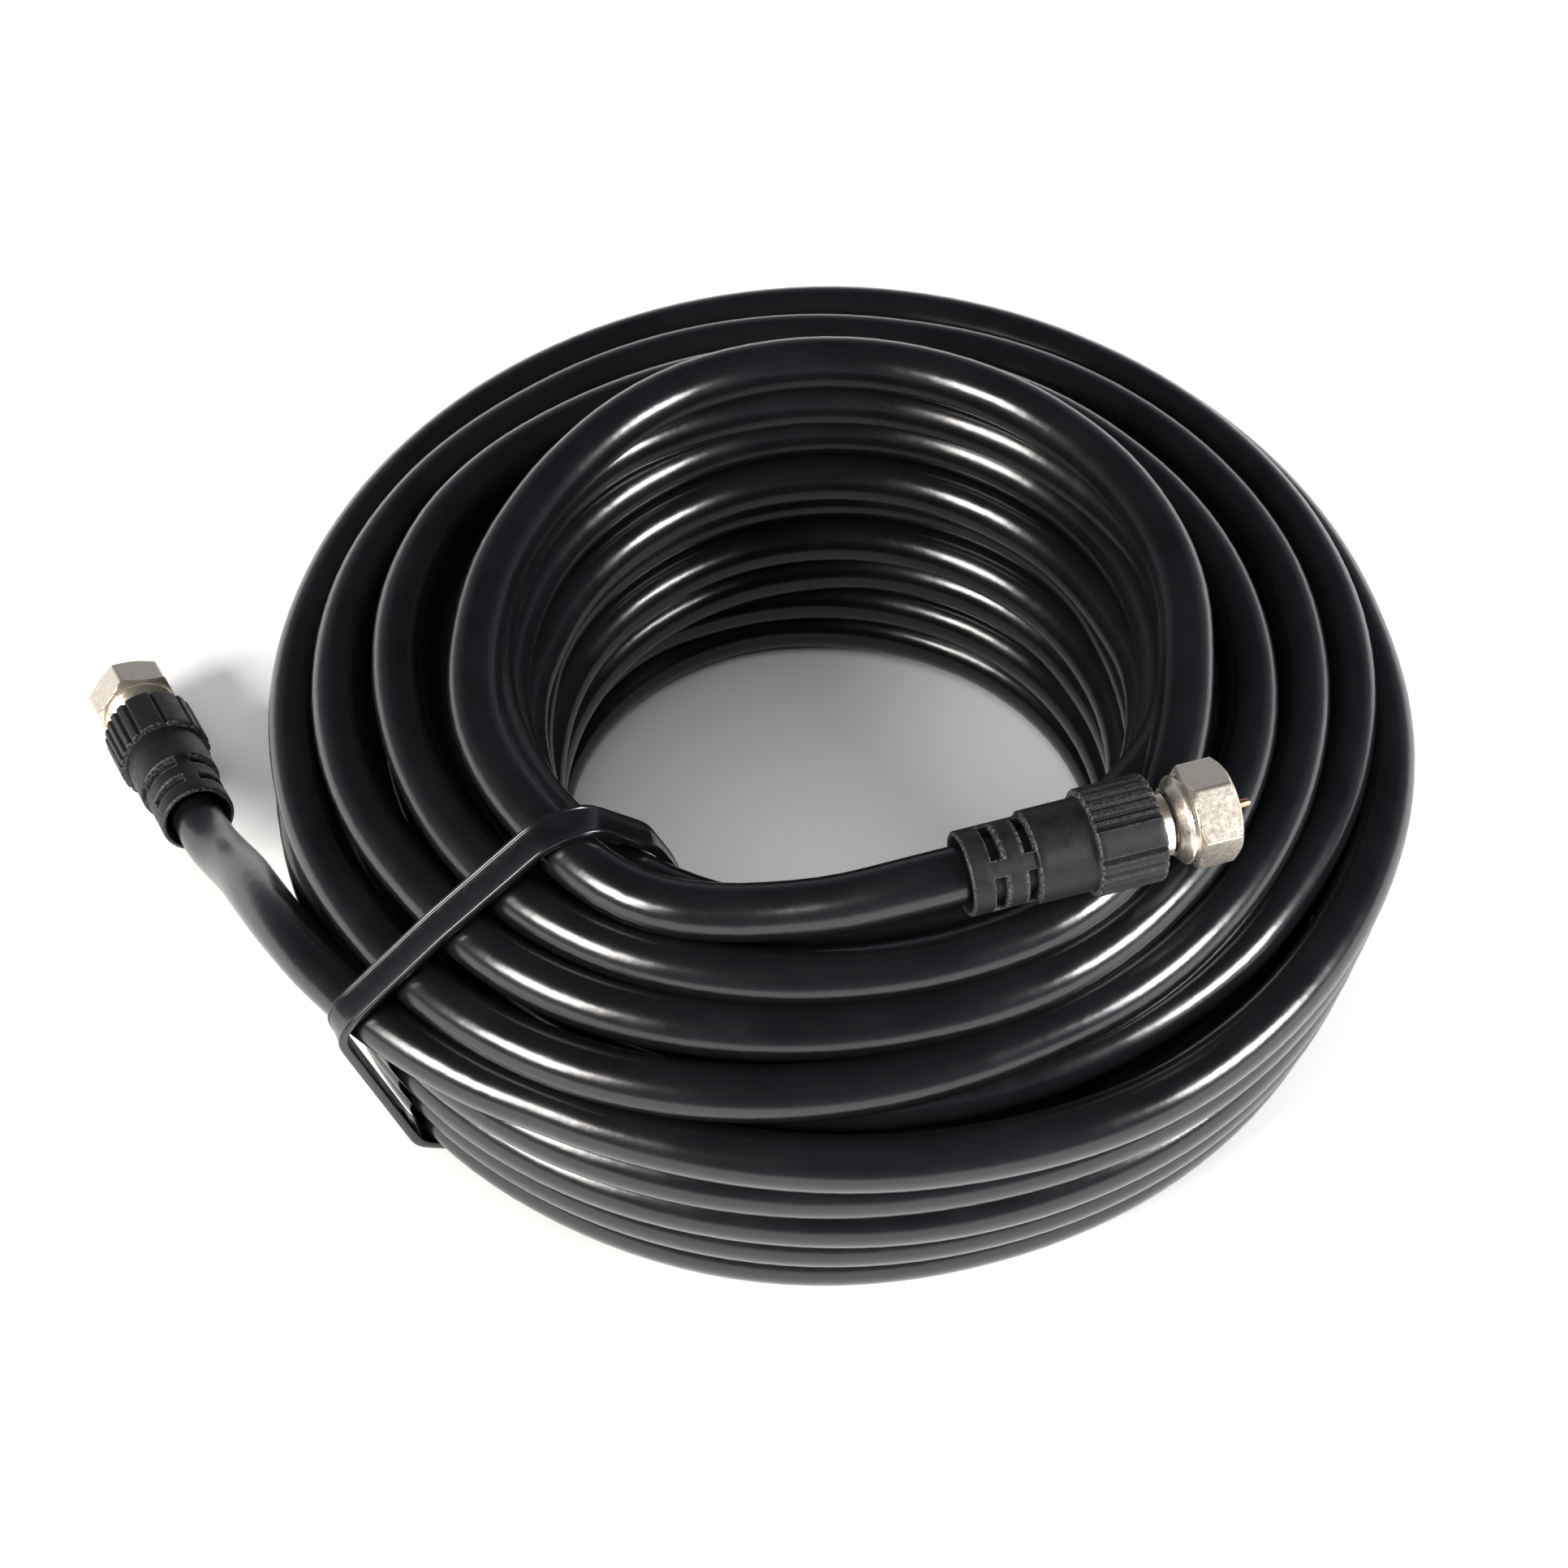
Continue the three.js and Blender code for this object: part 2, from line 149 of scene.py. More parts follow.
# Camera: the photograph's frame and the view down on the coil
PHOTO_SIZE = 1932
FOCAL_PIXELS = 3660
SENSOR_WIDTH = 36.0
CAMERA_PLACE = (-7.115, -244.331, 341.781)
CAMERA_DIP = 53.0

# Light: the soft sun overhead, and the grey of the world at its horizon and above
OVERHEAD_POWER = 1.7
OVERHEAD_ANGLE = 75
HORIZON_COLOUR = (0.38, 0.41, 0.46, 1)
UPPER_COLOUR = (0.03, 0.032, 0.036, 1)
UPPER_PLACE = 0.6

MILLIMETRE = 0.001
coil_low, coil_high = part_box("cable_coil")
AXIS_PLACE = np.array([(coil_low.x + coil_high.x) / 2, (coil_low.y + coil_high.y) / 2, 0.0])


def to_row(points):
    """Points in millimetres round the coil's axis, as metres in the model's frame."""
    return np.asarray(points, float) * MILLIMETRE + AXIS_PLACE


def from_row(point):
    return (np.array(point, float) - AXIS_PLACE) / MILLIMETRE


def smooth_step(share):
    share = np.clip(share, 0, 1)
    return share * share * (3 - 2 * share)


def on_circle(azimuth, radius, height):
    angle = math.radians(azimuth)
    return np.array([radius * math.cos(angle), radius * math.sin(angle), height])


# Material helpers


class Nodes:
    """A material's node tree, with short calls for the nodes used here."""

    def __init__(self, name):
        self.material = bpy.data.materials.new(name)
        self.material.use_nodes = True
        self.tree = self.material.node_tree
        self.shader = self.tree.nodes["Principled BSDF"]

    def add(self, kind, **settings):
        node = self.tree.nodes.new(kind)
        for key, value in settings.items():
            setattr(node, key, value)
        return node

    def link(self, start, end):
        self.tree.links.new(start, end)

    def place(self, scale=(1, 1, 1), source="Object"):
        coordinates = self.add("ShaderNodeTexCoord")
        mapping = self.add("ShaderNodeMapping")
        mapping.inputs["Scale"].default_value = scale
        self.link(coordinates.outputs[source], mapping.inputs["Vector"])
        return mapping.outputs["Vector"]

    def noise(self, vector, scale, detail=2.0, roughness=0.5):
        node = self.add("ShaderNodeTexNoise")
        node.inputs["Scale"].default_value = scale
        node.inputs["Detail"].default_value = detail
        node.inputs["Roughness"].default_value = roughness
        self.link(vector, node.inputs["Vector"])
        return node.outputs["Fac"]

    def ramp(self, value, stops):
        node = self.add("ShaderNodeValToRGB")
        elements = node.color_ramp.elements
        while len(elements) < len(stops):
            elements.new(0.5)
        for element, (place, colour) in zip(elements, stops):
            element.position = place
            channels = colour if isinstance(colour, tuple) else (colour,) * 3
            element.color = (*channels, 1.0)
        self.link(value, node.inputs["Fac"])
        return node.outputs["Color"]

    def bump(self, height, strength, distance, below=None):
        node = self.add("ShaderNodeBump")
        node.inputs["Strength"].default_value = strength
        node.inputs["Distance"].default_value = distance
        self.link(height, node.inputs["Height"])
        if below is not None:
            self.link(below, node.inputs["Normal"])
        return node.outputs["Normal"]

    def attribute(self, name):
        return self.add("ShaderNodeAttribute", attribute_name=name).outputs["Fac"]

    def mix(self, factor, first, second):
        node = self.add("ShaderNodeMix", data_type="RGBA")
        self.link(factor, node.inputs["Factor"])
        for socket, value in ((node.inputs[6], first), (node.inputs[7], second)):
            if isinstance(value, tuple):
                socket.default_value = (*value, 1.0)
            else:
                self.link(value, socket)
        return node.outputs[2]

    def set(self, **values):
        for key, value in values.items():
            self.shader.inputs[key.replace("_", " ")].default_value = value


def jacket_material():
    """Black PVC jacket: glossy, with a fine grain and slow changes of gloss along the cable."""
    nodes = Nodes("jacket_pvc")
    near = nodes.place()
    along = nodes.place((1, 1, 1), "UV")
    tone = nodes.noise(near, 90, 3)
    nodes.link(nodes.ramp(tone, ((0.3, (0.0028, 0.003, 0.0036)), (0.75, (0.005, 0.0053, 0.0062)))),
               nodes.shader.inputs["Base Color"])
    patches = nodes.noise(along, 0.16, 3, 0.6)
    nodes.link(nodes.ramp(patches, ((0.3, 0.17), (0.7, 0.25))), nodes.shader.inputs["Roughness"])
    grain = nodes.noise(near, 5200, 2, 0.7)
    waves = nodes.noise(along, 0.45, 2)
    normal = nodes.bump(grain, 0.16, 0.00005)
    normal = nodes.bump(waves, 0.05, 0.0006, normal)
    nodes.link(normal, nodes.shader.inputs["Normal"])
    nodes.set(Specular_IOR_Level=0.5, IOR=1.52)
    return nodes.material


def boot_material():
    """Satin moulded black PVC, mottled, rubbed lighter along its edges."""
    nodes = Nodes("boot_moulding")
    near = nodes.place()
    tone = nodes.noise(near, 420, 4, 0.6)
    base = nodes.ramp(tone, ((0.3, (0.0035, 0.0035, 0.004)), (0.7, (0.0075, 0.0072, 0.0078))))
    flecks = nodes.noise(near, 2600, 3, 0.7)
    worn = nodes.add("ShaderNodeMath", operation="MULTIPLY")
    nodes.link(nodes.attribute("edge"), worn.inputs[0])
    nodes.link(nodes.ramp(flecks, ((0.42, 0.0), (0.62, 1.0))), worn.inputs[1])
    nodes.link(nodes.mix(worn.outputs[0], base, (0.075, 0.075, 0.08)), nodes.shader.inputs["Base Color"])
    rough = nodes.noise(near, 900, 3)
    nodes.link(nodes.ramp(rough, ((0.3, 0.4), (0.7, 0.56))), nodes.shader.inputs["Roughness"])
    grain = nodes.noise(near, 3600, 3, 0.65)
    nodes.link(nodes.bump(grain, 0.35, 0.00006), nodes.shader.inputs["Normal"])
    nodes.set(Specular_IOR_Level=0.3)
    return nodes.material


def nickel_material():
    """Nickel plating, warm and bright, with a fine grain on its rolled flats."""
    nodes = Nodes("nickel_plating")
    near = nodes.place()
    tone = nodes.noise(near, 900, 4, 0.7)
    nodes.link(nodes.ramp(tone, ((0.3, (0.72, 0.64, 0.54)), (0.7, (0.78, 0.7, 0.59)))),
               nodes.shader.inputs["Base Color"])
    rough = nodes.noise(near, 1500, 4, 0.7)
    nodes.link(nodes.ramp(rough, ((0.3, 0.22), (0.75, 0.34))), nodes.shader.inputs["Roughness"])
    grain = nodes.noise(near, 4200, 3, 0.7)
    nodes.link(nodes.bump(grain, 0.1, 0.00005), nodes.shader.inputs["Normal"])
    nodes.set(Metallic=0.92)
    return nodes.material


def copper_material():
    """Bare copper wire, drawn lengthwise."""
    nodes = Nodes("copper_wire")
    near = nodes.place()
    tone = nodes.noise(near, 2200, 3, 0.6)
    nodes.link(nodes.ramp(tone, ((0.3, (0.7, 0.3, 0.16)), (0.7, (0.9, 0.5, 0.33)))),
               nodes.shader.inputs["Base Color"])
    nodes.link(nodes.ramp(tone, ((0.3, 0.22), (0.7, 0.36))), nodes.shader.inputs["Roughness"])
    nodes.link(nodes.bump(nodes.noise(near, 5200, 2), 0.25, 0.00004), nodes.shader.inputs["Normal"])
    nodes.set(Metallic=1.0)
    return nodes.material


def insulator_material():
    """White polyethylene disc."""
    nodes = Nodes("insulator_plastic")
    near = nodes.place()
    tone = nodes.noise(near, 700, 3)
    nodes.link(nodes.ramp(tone, ((0.3, (0.72, 0.71, 0.66)), (0.7, (0.82, 0.81, 0.77)))),
               nodes.shader.inputs["Base Color"])
    nodes.link(nodes.ramp(tone, ((0.3, 0.42), (0.7, 0.55))), nodes.shader.inputs["Roughness"])
    nodes.link(nodes.bump(nodes.noise(near, 2500, 2), 0.2, 0.00004), nodes.shader.inputs["Normal"])
    return nodes.material


def tie_material():
    """Glossy black nylon with a faint moulded ripple."""
    nodes = Nodes("tie_nylon")
    near = nodes.place()
    tone = nodes.noise(near, 300, 3)
    nodes.link(nodes.ramp(tone, ((0.3, (0.003, 0.0032, 0.0038)), (0.7, (0.0052, 0.0055, 0.0065)))),
               nodes.shader.inputs["Base Color"])
    nodes.link(nodes.ramp(nodes.noise(near, 700, 3), ((0.3, 0.14), (0.7, 0.24))),
               nodes.shader.inputs["Roughness"])
    nodes.link(nodes.bump(nodes.noise(near, 1400, 2), 0.12, 0.00006), nodes.shader.inputs["Normal"])
    return nodes.material


def floor_material():
    """Plain pale floor."""
    nodes = Nodes("pale_floor")
    tone = nodes.noise(nodes.place(), 6, 2)
    nodes.link(nodes.ramp(tone, ((0.3, 0.78), (0.7, 0.8))), nodes.shader.inputs["Base Color"])
    nodes.set(Roughness=0.9, Specular_IOR_Level=0.1)
    return nodes.material


# Mesh helpers


def add_mesh(name, points, faces, material, sharp_angle=180, edge=None, uv=None):
    """A mesh from points in millimetres round the coil's axis, smooth but for its sharp edges."""
    mesh = bpy.data.meshes.new(name)
    mesh.from_pydata(to_row(points).tolist(), [], faces)
    mesh.materials.append(material)
    mesh.polygons.foreach_set("use_smooth", [True] * len(mesh.polygons))
    if edge is not None:
        worn = mesh.attributes.new("edge", "FLOAT", "POINT")
        worn.data.foreach_set("value", np.asarray(edge, np.float32))
    if uv is not None:
        layer = mesh.uv_layers.new(name="along")
        layer.data.foreach_set("uv", np.asarray(uv, np.float32).ravel())
    shaped = bmesh.new()
    shaped.from_mesh(mesh)
    bmesh.ops.recalc_face_normals(shaped, faces=shaped.faces)
    shaped.to_mesh(mesh)
    shaped.free()
    if sharp_angle < 180:
        mesh.set_sharp_from_angle(angle=math.radians(sharp_angle))
    piece = bpy.data.objects.new(name, mesh)
    bpy.context.scene.collection.objects.link(piece)
    return piece


def grid_faces(rows, columns, wrap_rows=False):
    """Quads of a grid whose columns close on themselves, and whose rows may too."""
    faces = []
    last = rows if wrap_rows else rows - 1
    for i in range(last):
        j = (i + 1) % rows
        for k in range(columns):
            m = (k + 1) % columns
            faces.append((i * columns + k, i * columns + m, j * columns + m, j * columns + k))
    return faces


# Route of the cable through the coil

# Places of the turns in the coil's section: radius and height, in the order they were wound
TURN_PLACES = (
    (45.0, 56.0), (54.2, 50.8), (58.0, 45.8), (64.5, 40.0), (61.5, 35.6), (56.0, 40.2), (50.0, 36.6),
    (50.0, 43.6), (44.2, 48.8), (43.0, 42.3), (41.6, 35.8), (41.2, 29.3), (51.2, 30.6), (63.4, 28.9),
    (62.6, 22.2), (50.6, 23.4), (40.6, 22.8), (40.4, 16.3), (49.4, 16.6), (62.0, 15.6), (59.8, 9.4),
    (48.5, 9.9), (40.2, 9.9), (39.7, 3.5), (47.5, 3.5), (56.0, 3.5), (64.0, 3.5), (68.0, 10.0),
    (69.7, 16.4), (70.1, 22.8), (70.9, 29.3), (71.1, 35.8),
)
FIRST_OUTER = 26
INNER_CHANGE = (-45.0, 50.0)
OUTER_CHANGE = (110.0, 85.0)

# How far the winding departs from round: azimuth and change of radius, for three parts of it
BORE_FOOT_SWELL = ((60, 0.0), (90, 0.7), (110, 1.9), (125, 3.0), (140, 3.5), (155, 3.0), (170, 1.8),
                   (190, 0.6), (210, 0.0))
BORE_TOP_SWELL = ((170, 0.0), (185, 0.8), (200, 1.5), (225, 1.9), (250, 1.6), (270, 0.6), (285, 0.0))
OUTER_SWELL = ((0, -0.3), (10, -0.7), (20, -1.3), (30, -0.9), (45, 0.0), (60, 0.8), (90, 1.3),
               (120, 1.2), (150, 0.5), (180, 0.1), (200, 0.3), (228, 1.5), (240, 0.7), (250, -0.1),
               (262, -0.9), (285, -1.2), (297, -0.6), (308, 0.1), (340, 0.5))
OUTER_FOOT_SWELL = ((230, 0.4), (262, 0.3), (285, -0.6), (305, -0.5), (325, 0.0), (345, 0.6), (360, 0.4))

# Places of the turns that show on top: azimuth along the winding, radius, height
SHOWN_TOP = (
    (270, 48.6, 59.2), (260, 48.9, 56.9), (251, 50.6, 56.2), (243, 52.2, 56.0), (235, 51.6, 56.0),
    (224, 50.2, 56.0), (214, 49.6, 56.0), (205, 48.7, 56.0), (197, 47.4, 56.0), (186, 45.4, 56.0),
    (174, 44.0, 56.0), (160, 42.5, 56.0), (145, 41.9, 56.0), (120, 42.5, 56.0), (93, 42.3, 56.0),
    (70, 41.8, 56.0), (45, 41.6, 56.0), (20, 42.3, 56.0), (0, 43.2, 56.0), (-12, 43.8, 55.4),
    (-25, 45.8, 53.8), (-38, 48.6, 52.2), (-50, 51.2, 51.4), (-63, 52.7, 51.0), (-76, 53.1, 51.0),
    (-89, 53.6, 51.0), (-103, 54.9, 51.0), (-118, 56.4, 51.0), (-130, 57.1, 50.8),
    (-145, 56.8, 50.6), (-165, 56.3, 50.3), (-185, 56.1, 50.0), (-200, 55.2, 49.8),
    (-212, 53.5, 49.6), (-222, 51.6, 49.4), (-236, 49.7, 49.2), (-252, 48.6, 49.0),
    (-270, 48.3, 49.0), (-295, 47.8, 49.0), (-320, 48.4, 48.8), (-345, 50.8, 48.0),
    (-365, 52.4, 47.2), (-390, 54.0, 47.2), (-425, 56.6, 47.5), (-440, 56.9, 47.5),
    (-452, 58.0, 47.5), (-464, 59.7, 47.5), (-478, 62.1, 47.4), (-489, 63.3, 47.1),
    (-504, 63.0, 46.3), (-518, 64.1, 45.3), (-535, 64.6, 44.4), (-553, 64.4, 44.0),
    (-570, 63.1, 43.8), (-588, 61.0, 43.8), (-610, 59.9, 43.8), (-640, 58.7, 43.8),
    (-662, 59.2, 43.8), (-686, 59.8, 43.6), (-705, 60.3, 43.4), (-735, 59.6, 43.2),
    (-770, 59.9, 43.0), (-787, 60.0, 43.0), (-796, 61.2, 43.0), (-813, 64.2, 43.0),
    (-829, 66.9, 42.8), (-840, 68.5, 42.4), (-853, 69.6, 41.4), (-866, 69.8, 40.2),
    (-880, 70.4, 39.2), (-900, 70.9, 38.6), (-935, 70.4, 38.6), (-968, 69.9, 38.9),
    (-990, 69.5, 39.3), (-1020, 68.5, 39.5), (-1055, 68.2, 39.4), (-1070, 68.0, 39.2),
    (-1080, 67.4, 39.0), (-1095, 65.7, 38.4), (-1110, 63.8, 37.6), (-1125, 62.4, 37.0),
    (-1140, 61.8, 36.6), (-1160, 61.4, 36.0),
)
SHOWN_FRONT = (
    (-10760, 71.0, 36.0), (-10790, 70.6, 36.0), (-10802, 71.2, 36.0), (-10816, 71.9, 36.0),
    (-10845, 71.8, 36.0), (-10858, 71.6, 36.0), (-10868, 70.8, 36.0), (-10878, 70.1, 36.0),
    (-10895, 69.9, 36.0), (-10908, 70.2, 36.0), (-10920, 71.4, 36.0),
)
ROUTE_START = 270
ROUTE_END = -10920

# The tail, from the coil to the connector on the floor: azimuth, radius, height
TAIL_PLACES = (
    (234, 72.7, 36.2), (227, 74.2, 36.4), (220, 75.6, 36.2), (213, 76.8, 35.2), (206.1, 77.8, 32.6),
    (199.7, 78.9, 28.4), (193.6, 80.5, 23.0), (189.4, 82.5, 18.6),
)


def swell(azimuth, table):
    """Change of radius at each azimuth, from a table of azimuths and changes."""
    table = np.array(table, float)
    return np.interp(azimuth % 360, table[:, 0], table[:, 1], period=360)


def wanted_places():
    """Where each station of the winding wants to lie, and how strongly it is held there."""
    azimuth = np.arange(ROUTE_START, ROUTE_END - 1, -STATION, dtype=float)
    rows = np.array(TURN_PLACES)
    row = np.zeros(len(azimuth))
    for change in range(len(rows) - 1):
        middle, half = INNER_CHANGE if change < FIRST_OUTER else OUTER_CHANGE
        row += smooth_step((middle - 360 * change + half - azimuth) / (2 * half))
    below = np.minimum(row.astype(int), len(rows) - 2)
    share = (row - below)[:, None]
    places = rows[below] * (1 - share) + rows[below + 1] * share
    radius, height = places.T
    in_bore = np.clip((BORE_EDGE - radius) / BORE_FADE, 0, 1)
    bore_foot = np.clip((BORE_FOOT - height) / BORE_FOOT_FADE, 0, 1)
    bore_top = np.clip((height - BORE_TOP) / BORE_TOP_FADE, 0, 1)
    outer_side = np.clip((height - OUTER_LOW) / OUTER_FADE, 0, 1)
    outer_foot = np.clip((OUTER_FOOT - height) / OUTER_FOOT_FADE, 0, 1)
    places[:, 0] += (swell(azimuth, BORE_FOOT_SWELL) * bore_foot * in_bore
                     + swell(azimuth, BORE_TOP_SWELL) * bore_top * in_bore
                     + swell(azimuth, OUTER_SWELL) * outer_side * (radius > OUTER_RADIUS)
                     + swell(azimuth, OUTER_FOOT_SWELL) * outer_foot * (radius > OUTER_FOOT_RADIUS))
    hold = np.full(len(azimuth), HIDDEN_HOLD)
    for stations in (SHOWN_TOP, SHOWN_FRONT):
        shown = np.array(stations, float)
        inside = (azimuth <= shown[0, 0]) & (azimuth >= shown[-1, 0])
        for column in (0, 1):
            places[inside, column] = np.interp(-azimuth[inside], -shown[:, 0], shown[:, column + 1])
        hold[inside] = SHOWN_HOLD
    wander = np.random.RandomState(SEED)
    turn = np.floor((ROUTE_START - azimuth) / 360).astype(int)
    along = ((ROUTE_START - azimuth) / 360 - turn)[:, None]
    for harmonic in SWAY_HARMONICS:
        phase = wander.uniform(0, 2 * np.pi, (turn.max() + 2, 2))
        mixed = phase[turn] * (1 - along) + phase[turn + 1] * along
        sway = SWAY / harmonic * np.sin(np.radians(azimuth * harmonic))[:, None] * np.cos(mixed)
        places += sway * (hold < BORE_HOLD)[:, None]
    outer = row > FIRST_OUTER - 0.5
    hold[outer] = np.maximum(hold[outer], OUTER_HOLD)
    bore_wall = BORE_ROUTE_RADIUS + CABLE_RADIUS * places[:, 1] / BORE_LEAN_HEIGHT
    on_bore = np.abs(places[:, 0] - bore_wall) < BORE_WALL_REACH
    hold[on_bore & (hold < BORE_HOLD)] = BORE_HOLD
    return azimuth, places, hold


def settle(azimuth, places, hold, rounds=400):
    """Pushes turns that overlap apart in the coil's section and keeps each one smooth."""
    count = len(azimuth)
    turns = -(-count // STATIONS_A_TURN)
    wanted = places.copy()
    beside = TIE_OFFSET / np.maximum(places[:, 0], LEAST_RADIUS)
    tie_azimuth = TIE_HEADING + np.degrees(np.arcsin(beside))
    from_tie = np.abs((azimuth - tie_azimuth + 180) % 360 - 180)
    floor = CABLE_RADIUS + STRAP_LIFT * np.exp(-((from_tie / STRAP_LIFT_SPREAD) ** 2))
    grid = np.full((turns * STATIONS_A_TURN, 2), np.nan)
    same = np.arange(turns)
    for _ in range(rounds):
        grid[:count] = places
        section = grid.reshape(turns, STATIONS_A_TURN, 2)
        apart = section[:, None] - section[None]
        distance = np.sqrt((apart ** 2).sum(-1)) + 1e-9
        overlap = np.clip(TURN_GAP - distance, 0, None)
        overlap[np.isnan(overlap)] = 0
        overlap[same, same] = 0
        push = np.nansum(apart / distance[..., None] * (overlap * PUSH)[..., None], axis=1)
        places += push.reshape(-1, 2)[:count]
        places += (wanted - places) * hold[:, None]
        places[1:-1] += SMOOTHING * (0.5 * (places[:-2] + places[2:]) - places[1:-1])
        places[:, 1] = np.maximum(places[:, 1], floor)
        places[:, 0] = np.maximum(places[:, 0], BORE_ROUTE_RADIUS)
    return places


def even_curve(points, step):
    """Points a step apart along a smooth curve through the given ones."""
    points = np.asarray(points, float)
    padded = np.vstack([2 * points[0] - points[1], points, 2 * points[-1] - points[-2]])
    knots = np.cumsum(np.r_[0, np.sqrt(np.linalg.norm(np.diff(padded, axis=0), axis=1))])
    dense = []
    for i in range(1, len(padded) - 2):
        t0, t1, t2, t3 = knots[i - 1:i + 3]
        p0, p1, p2, p3 = padded[i - 1:i + 3]
        t = np.linspace(t1, t2, CURVE_SAMPLES)[:-1, None]
        a1 = (t1 - t) / (t1 - t0) * p0 + (t - t0) / (t1 - t0) * p1
        a2 = (t2 - t) / (t2 - t1) * p1 + (t - t1) / (t2 - t1) * p2
        a3 = (t3 - t) / (t3 - t2) * p2 + (t - t2) / (t3 - t2) * p3
        b1 = (t2 - t) / (t2 - t0) * a1 + (t - t0) / (t2 - t0) * a2
        b2 = (t3 - t) / (t3 - t1) * a2 + (t - t1) / (t3 - t1) * a3
        dense.append((t2 - t) / (t2 - t1) * b1 + (t - t1) / (t2 - t1) * b2)
    dense = np.vstack([*dense, points[-1:]])
    lengths = np.cumsum(np.r_[0, np.linalg.norm(np.diff(dense, axis=0), axis=1)])
    wanted = np.linspace(0, lengths[-1], int(round(lengths[-1] / step)) + 1)
    return np.stack([np.interp(wanted, lengths, dense[:, k]) for k in range(3)], 1)


# Connector frames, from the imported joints


class Connector:
    """A connector's place: the middle of its boot's rear end, its axis and two directions across."""

    def __init__(self, prefix, roll):
        joint = next(j for j in frame["joints"] if j["name"] == f"{prefix}_nut_spin")
        axis = Vector(joint["axis"]).normalized()
        turn = Vector((0, 1, 0)).rotation_difference(axis)
        self.axis = np.array(axis)
        self.across = np.array(turn @ Vector((1, 0, 0)))
        self.up = np.array(turn @ Vector((0, 0, 1)))
        self.rear = from_row(joint["pos_m"]) - JOINT_AHEAD * self.axis
        self.roll = roll
        self.prefix = prefix

    def along(self, distance):
        return self.rear + distance * self.axis


top = Connector("top", TOP_ROLL)
side = Connector("side", SIDE_ROLL)


def cable_route():
    azimuth, places, hold = wanted_places()
    places = settle(azimuth, places, hold)
    wound = [on_circle(a, *p) for a, p in zip(azimuth, places)]
    start = [top.along(d) for d in (CABLE_SEAT, CABLE_SEAT / 2, 0, -LEAD_IN / 2, -LEAD_IN)]
    tail = [on_circle(*place) for place in TAIL_PLACES]
    end = [side.along(d) for d in (-LEAD_IN, -LEAD_IN / 2, 0, CABLE_SEAT / 2, CABLE_SEAT)]
    return even_curve(start + wound + tail + end, TUBE_STEP)


def tube_rings(route, radius, sides):
    """Rings of points round a route, without twist."""
    tangent = np.gradient(route, axis=0)
    tangent /= np.linalg.norm(tangent, axis=1)[:, None]
    beside = np.cross(tangent, (0.0, 0.0, 1.0))
    beside /= np.linalg.norm(beside, axis=1)[:, None]
    above = np.cross(beside, tangent)
    angle = np.linspace(0, 2 * np.pi, sides, endpoint=False)
    out = np.cos(angle)[None, :, None] * beside[:, None] + np.sin(angle)[None, :, None] * above[:, None]
    return route[:, None] + radius * out


def make_cable(route, material):
    rings = tube_rings(route, CABLE_RADIUS, TUBE_SIDES)
    count = len(route)
    points = rings.reshape(-1, 3)
    faces = grid_faces(count, TUBE_SIDES)
    faces.append(tuple(range(TUBE_SIDES)))
    faces.append(tuple(range((count - 1) * TUBE_SIDES, count * TUBE_SIDES)))
    length = np.r_[0, np.cumsum(np.linalg.norm(np.diff(route, axis=0), axis=1))]
    round_edge = 2 * np.pi * CABLE_RADIUS / TUBE_SIDES
    uv = []
    for i in range(count - 1):
        for k in range(TUBE_SIDES):
            left, right = k * round_edge, (k + 1) * round_edge
            uv += [(left, length[i]), (right, length[i]), (right, length[i + 1]), (left, length[i + 1])]
    uv += [(0.0, 0.0)] * (2 * TUBE_SIDES)
    return add_mesh("coax_cable", points, faces, material, 60, uv=uv)


# Cable tie


def tie_axes():
    heading = math.radians(TIE_HEADING)
    along = np.array([math.cos(heading), math.sin(heading), 0.0])
    up = np.array([0.0, 0.0, 1.0])
    across = np.cross(along, up)
    return along, up, across


def crossings(route):
    """Radius and height of every turn where it passes through the tie's plane."""
    along, _, across = tie_axes()
    lateral = route @ across + TIE_OFFSET
    found = []
    for i in np.nonzero(lateral[:-1] * lateral[1:] < 0)[0]:
        share = lateral[i] / (lateral[i] - lateral[i + 1])
        point = route[i] + share * (route[i + 1] - route[i])
        if point @ along > 0:
            found.append((math.hypot(point[0], point[1]), point[2]))
    return found


def outline(points):
    """The taut outline round points in a plane, counter-clockwise."""
    ordered = sorted(map(tuple, points))

    def chain(line):
        kept = []
        for p in line:
            while len(kept) > 1:
                (ax, ay), (bx, by) = kept[-2], kept[-1]
                if (bx - ax) * (p[1] - ay) - (by - ay) * (p[0] - ax) > 1e-6:
                    break
                kept.pop()
            kept.append(p)
        return kept[:-1]

    return np.array(chain(ordered) + chain(ordered[::-1]))


def even_loop(loop, step):
    """A closed outline resampled a step apart and softened a little."""
    closed = np.vstack([loop, loop[:1]])
    lengths = np.r_[0, np.cumsum(np.linalg.norm(np.diff(closed, axis=0), axis=1))]
    wanted = np.linspace(0, lengths[-1], int(lengths[-1] / step), endpoint=False)
    even = np.stack([np.interp(wanted, lengths, closed[:, k]) for k in (0, 1)], 1)
    for _ in range(6):
        even += 0.25 * (np.roll(even, 1, 0) + np.roll(even, -1, 0) - 2 * even)
    return even


def tie_loop(places):
    reach = CABLE_RADIUS + STRAP_INSIDE
    points = []
    for radius, height in places:
        for angle in np.linspace(0, 2 * np.pi, 72, endpoint=False):
            out = radius + reach * math.cos(angle)
            for lateral in (-STRAP_HALF_WIDTH, STRAP_HALF_WIDTH):
                offset = TIE_OFFSET + lateral
                points.append((math.sqrt(out * out - offset * offset), height + reach * math.sin(angle)))
    return even_loop(outline(points), 0.5)


